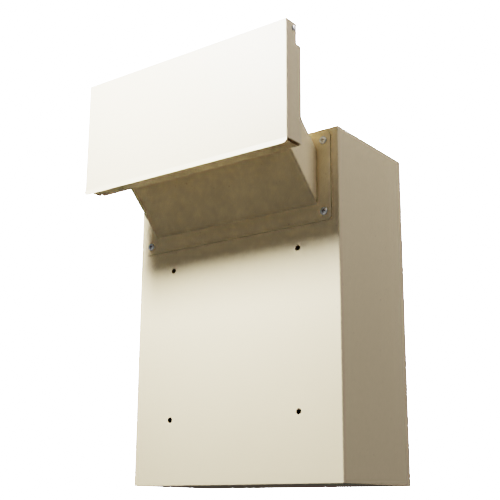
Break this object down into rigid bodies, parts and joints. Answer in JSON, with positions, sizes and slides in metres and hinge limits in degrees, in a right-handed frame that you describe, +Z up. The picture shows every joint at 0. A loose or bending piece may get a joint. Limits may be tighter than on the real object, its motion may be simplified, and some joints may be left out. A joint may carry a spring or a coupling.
{
  "type": "book drop box",
  "caption": "Through-the-wall drop box: sheet-steel receptacle with a locked indoor door, a sloping chute and an outdoor head with a top-hinged gravity lid.",
  "frame": {"origin": "centre of the four mounting holes, in the plane of the mounting face (the outside of the receptacle's front panel)", "axes": "+Z up, +Y indoors from the wall into the receptacle, -Y outdoors along the chute, +X to the right when looking along +Y"},
  "size_m": [0.3104, 0.2636, 0.4989],
  "materials": {
    "box_paint": "almond powder coat, satin, fine orange peel",
    "lid_paint": "almond powder coat, satin, fine orange peel",
    "fastener": "bright zinc plate",
    "hinge_steel": "plain rolled steel, lightly brushed",
    "lock_chrome": "bright chrome plate",
    "plug_steel": "turned steel face",
    "nylon": "natural nylon"
  },
  "bodies": {
    "receptacle": {"body_shell": "box_paint", "bottom_cap": "box_paint", "top_cap": "box_paint", "chute_trough": "box_paint", "chute_cover": "box_paint", "chute_flange": "box_paint", "chute_screws": "fastener", "chute_washers": "fastener", "chute_nuts": "fastener", "head_plate": "box_paint", "hinge_leaf_body": "hinge_steel", "hinge_pin": "hinge_steel", "body_rivets": "fastener"},
    "lid": {"lid": "lid_paint", "pivot_screws": "fastener", "pivot_spacers": "nylon", "pivot_nuts": "fastener"},
    "door": {"door_panel": "box_paint", "hinge_leaf_door": "hinge_steel", "door_rivets": "fastener", "lock_barrel": "lock_chrome", "lock_nut": "fastener"},
    "lock": {"lock_plug": "plug_steel", "lock_cam": "fastener", "cam_nut": "fastener"}
  },
  "joints": [
    {"name": "lid_hinge", "type": "hinge", "parent": "receptacle", "child": "lid", "pos_m": [0, -0.0917, 0.3178], "axis": [-1, 0, 0], "range_deg": [0, 90]},
    {"name": "door_hinge", "type": "hinge", "parent": "receptacle", "child": "door", "pos_m": [0.13265, 0.1548, 0.0301], "axis": [0, 0, -1], "range_deg": [0, 170]},
    {"name": "lock_turn", "type": "hinge", "parent": "door", "child": "lock", "pos_m": [-0.1099, 0.1524, 0.0301], "axis": [0, 1, 0], "range_deg": [0, 90]}
  ]
}
